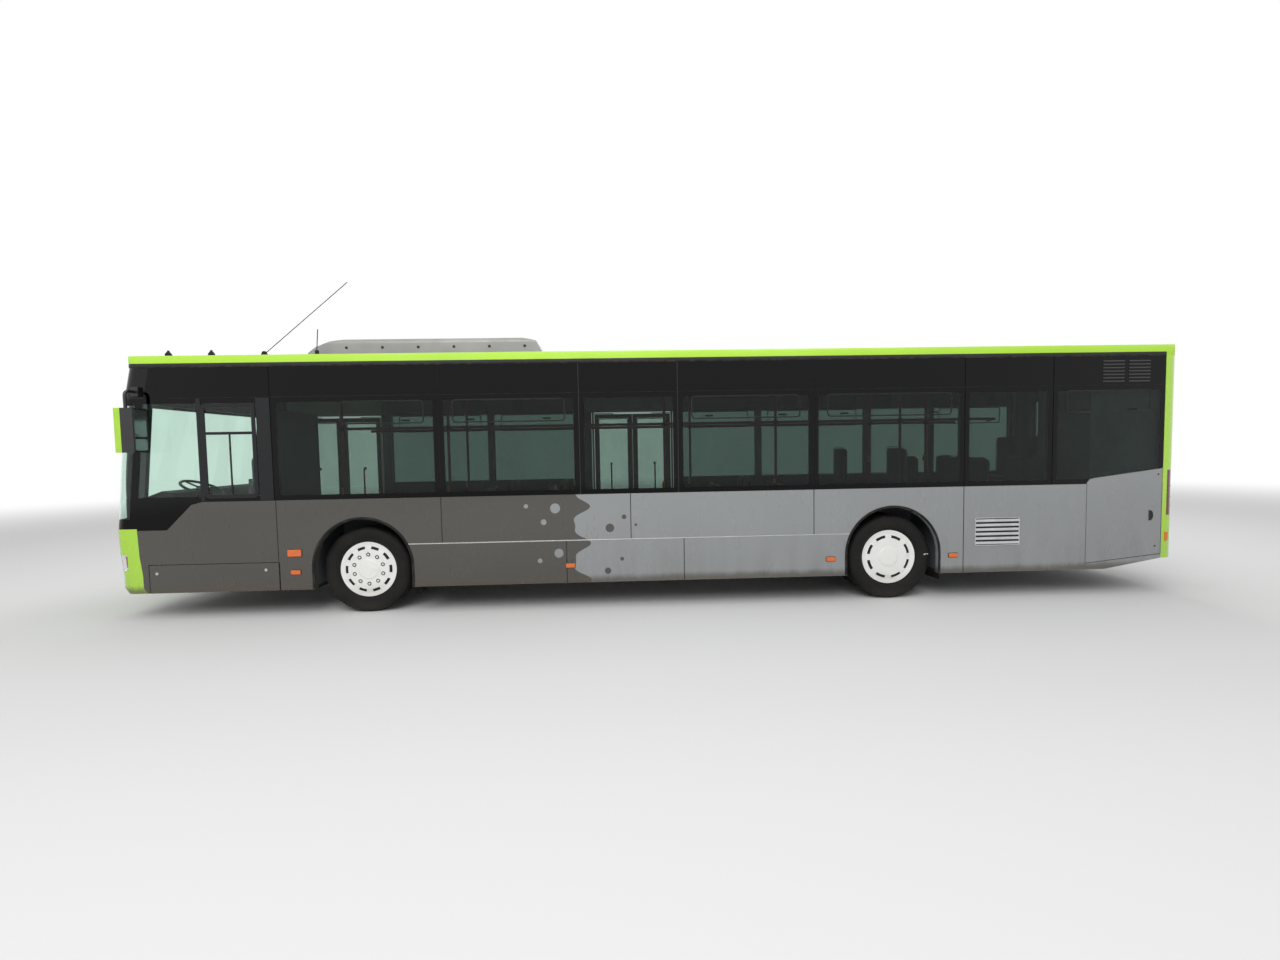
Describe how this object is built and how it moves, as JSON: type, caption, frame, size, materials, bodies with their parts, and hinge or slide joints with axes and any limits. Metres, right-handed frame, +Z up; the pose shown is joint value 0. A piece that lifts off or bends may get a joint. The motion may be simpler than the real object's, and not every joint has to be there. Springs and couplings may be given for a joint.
{
  "type": "low-floor city bus",
  "caption": "Full-size single-deck low-floor city bus with double doors on its right side, steered front wheels, twin rear wheels, opening service flaps and a furnished saloon.",
  "frame": {"origin": "on the ground below the middle of the bus, half way between nose and tail on its centre plane", "axes": "+X forward, +Y to the bus's left, +Z up"},
  "size_m": [12, 3.02, 3.7031],
  "materials": {
    "side_paint": "satin, dark grey in front and silver behind",
    "roof_paint": "gloss",
    "green_paint": "gloss",
    "rear_paint": "gloss",
    "flap_paint": "satin silver",
    "flap_dark_paint": "satin dark grey",
    "tinted_glass": "tinted",
    "rear_glass": "tinted",
    "windscreen_glass": "clear, slightly green",
    "display_glass": "dark",
    "frame_black": "satin black",
    "lamp_lens": "clear lens",
    "red_lens": "dark red lens",
    "hatch_plastic": "grained",
    "pod_shell": "satin dark silver",
    "floor_covering": "speckled vinyl",
    "box_lining": "matt",
    "chassis_paint": "matt black",
    "axle_paint": "matt black",
    "engine_metal": "grimy",
    "cover_plastic": "grained",
    "platform_covering": "vinyl",
    "dashboard_plastic": "grained black",
    "steering_plastic": "satin black",
    "seat_fabric": "flat woven wool",
    "driver_fabric": "woven",
    "partition_panel": "grained",
    "tower_panel": "grained",
    "rail_paint": "gloss red",
    "mirror_plastic": "satin black",
    "tyre_rubber": "dusty",
    "wheel_paint": "gloss white",
    "door_frame": "satin black",
    "door_glass": "tinted",
    "post_steel": "satin grey"
  },
  "bodies": {
    "root": {"left_side_wall": "side_paint", "right_side_wall": "side_paint", "roof": "roof_paint", "front_mask": "green_paint", "rear_wall": "green_paint", "left_windows": "tinted_glass", "right_windows": "tinted_glass", "rear_window": "rear_glass", "windscreen": "windscreen_glass", "destination_display": "display_glass", "front_frame": "frame_black", "headlamps": "lamp_lens", "tail_lamps": "red_lens", "roof_hatches": "hatch_plastic", "air_conditioner_pod": "pod_shell", "floor": "floor_covering", "wheel_boxes": "box_lining", "chassis_rails": "chassis_paint", "front_axle": "axle_paint", "rear_axle": "axle_paint", "engine": "engine_metal", "door_drives": "cover_plastic", "cab_platform": "platform_covering", "dashboard": "dashboard_plastic", "passenger_seats": "seat_fabric", "driver_seat": "driver_fabric", "cab_partition": "partition_panel", "engine_tower": "tower_panel", "grab_rails": "rail_paint", "mirrors": "mirror_plastic", "radio_aerial": "mirror_plastic"},
    "front_left_knuckle": {"front_left_knuckle": "axle_paint"},
    "front_left_wheel": {"front_left_rim": "wheel_paint", "front_left_tyre": "tyre_rubber"},
    "rear_left_wheels": {"rear_left_rims": "wheel_paint", "rear_left_tyres": "tyre_rubber"},
    "front_right_knuckle": {"front_right_knuckle": "axle_paint"},
    "front_right_wheel": {"front_right_rim": "wheel_paint", "front_right_tyre": "tyre_rubber"},
    "rear_right_wheels": {"rear_right_rims": "wheel_paint", "rear_right_tyres": "tyre_rubber"},
    "steering_wheel": {"steering_wheel": "steering_plastic"},
    "front_door_rear_post": {"front_door_rear_post": "post_steel"},
    "front_door_rear_leaf": {"front_door_rear_leaf": "door_frame", "front_door_rear_glass": "door_glass"},
    "front_door_front_post": {"front_door_front_post": "post_steel"},
    "front_door_front_leaf": {"front_door_front_leaf": "door_frame", "front_door_front_glass": "door_glass"},
    "middle_door_rear_post": {"middle_door_rear_post": "post_steel"},
    "middle_door_rear_leaf": {"middle_door_rear_leaf": "door_frame", "middle_door_rear_glass": "door_glass"},
    "middle_door_front_post": {"middle_door_front_post": "post_steel"},
    "middle_door_front_leaf": {"middle_door_front_leaf": "door_frame", "middle_door_front_glass": "door_glass"},
    "rear_left_flap": {"rear_left_flap": "flap_paint"},
    "front_left_flap": {"front_left_flap": "flap_dark_paint"},
    "engine_lid": {"engine_lid": "rear_paint"}
  },
  "joints": [
    {"name": "steer_left", "type": "hinge", "parent": "root", "child": "front_left_knuckle", "pos_m": [3.31, 0.93, 0.4785], "axis": [0, 0, 1], "range_deg": [-45, 45]},
    {"name": "front_left_spin", "type": "hinge", "parent": "front_left_knuckle", "child": "front_left_wheel", "pos_m": [3.31, 1.05, 0.4785], "axis": [0, 1, 0], "continuous": true},
    {"name": "rear_left_spin", "type": "hinge", "parent": "root", "child": "rear_left_wheels", "pos_m": [-2.6, 0.915, 0.4785], "axis": [0, 1, 0], "continuous": true},
    {"name": "steer_right", "type": "hinge", "parent": "root", "child": "front_right_knuckle", "pos_m": [3.31, -0.93, 0.4785], "axis": [0, 0, 1], "range_deg": [-45, 45]},
    {"name": "front_right_spin", "type": "hinge", "parent": "front_right_knuckle", "child": "front_right_wheel", "pos_m": [3.31, -1.05, 0.4785], "axis": [0, 1, 0], "continuous": true},
    {"name": "rear_right_spin", "type": "hinge", "parent": "root", "child": "rear_right_wheels", "pos_m": [-2.6, -0.915, 0.4785], "axis": [0, 1, 0], "continuous": true},
    {"name": "steering_wheel_turn", "type": "hinge", "parent": "root", "child": "steering_wheel", "pos_m": [5.4, 0.7, 1.4], "axis": [-0.4226, 0, 0.9063], "range_deg": [-540, 540]},
    {"name": "front_door_rear_post_turn", "type": "hinge", "parent": "root", "child": "front_door_rear_post", "pos_m": [4.091, -1.255, 1.3], "axis": [0, 0, 1], "range_deg": [0, 84]},
    {"name": "front_door_rear_leaf_turn", "type": "hinge", "parent": "front_door_rear_post", "child": "front_door_rear_leaf", "pos_m": [4.389, -1.255, 1.3], "axis": [0, 0, 1], "range_deg": [-168, 0]},
    {"name": "front_door_front_post_turn", "type": "hinge", "parent": "root", "child": "front_door_front_post", "pos_m": [5.309, -1.255, 1.3], "axis": [0, 0, -1], "range_deg": [0, 84]},
    {"name": "front_door_front_leaf_turn", "type": "hinge", "parent": "front_door_front_post", "child": "front_door_front_leaf", "pos_m": [5.011, -1.255, 1.3], "axis": [0, 0, -1], "range_deg": [-168, 0]},
    {"name": "middle_door_rear_post_turn", "type": "hinge", "parent": "root", "child": "middle_door_rear_post", "pos_m": [-0.339, -1.255, 1.3], "axis": [0, 0, 1], "range_deg": [0, 84]},
    {"name": "middle_door_rear_leaf_turn", "type": "hinge", "parent": "middle_door_rear_post", "child": "middle_door_rear_leaf", "pos_m": [-0.041, -1.255, 1.3], "axis": [0, 0, 1], "range_deg": [-168, 0]},
    {"name": "middle_door_front_post_turn", "type": "hinge", "parent": "root", "child": "middle_door_front_post", "pos_m": [0.879, -1.255, 1.3], "axis": [0, 0, -1], "range_deg": [0, 84]},
    {"name": "middle_door_front_leaf_turn", "type": "hinge", "parent": "middle_door_front_post", "child": "middle_door_front_leaf", "pos_m": [0.581, -1.255, 1.3], "axis": [0, 0, -1], "range_deg": [-168, 0]},
    {"name": "rear_left_flap_hinge", "type": "hinge", "parent": "root", "child": "rear_left_flap", "pos_m": [-4.852, 1.275, 0.85], "axis": [0, 0, -1], "range_deg": [0, 95]},
    {"name": "front_left_flap_hinge", "type": "hinge", "parent": "root", "child": "front_left_flap", "pos_m": [4.9, 1.275, 0.295], "axis": [-1, 0, 0], "range_deg": [0, 110]},
    {"name": "engine_lid_hinge", "type": "hinge", "parent": "root", "child": "engine_lid", "pos_m": [-5.999, 0, 1.44], "axis": [0, 1, 0], "range_deg": [0, 80]}
  ],
  "couplings": [
    {"joint": "steer_right", "follows": "steer_left", "ratio": 1},
    {"joint": "steering_wheel_turn", "follows": "steer_left", "ratio": 12},
    {"joint": "front_door_rear_leaf_turn", "follows": "front_door_rear_post_turn", "ratio": -2},
    {"joint": "front_door_front_post_turn", "follows": "front_door_rear_post_turn", "ratio": 1},
    {"joint": "front_door_front_leaf_turn", "follows": "front_door_rear_post_turn", "ratio": -2},
    {"joint": "middle_door_rear_leaf_turn", "follows": "middle_door_rear_post_turn", "ratio": -2},
    {"joint": "middle_door_front_post_turn", "follows": "middle_door_rear_post_turn", "ratio": 1},
    {"joint": "middle_door_front_leaf_turn", "follows": "middle_door_rear_post_turn", "ratio": -2}
  ]
}
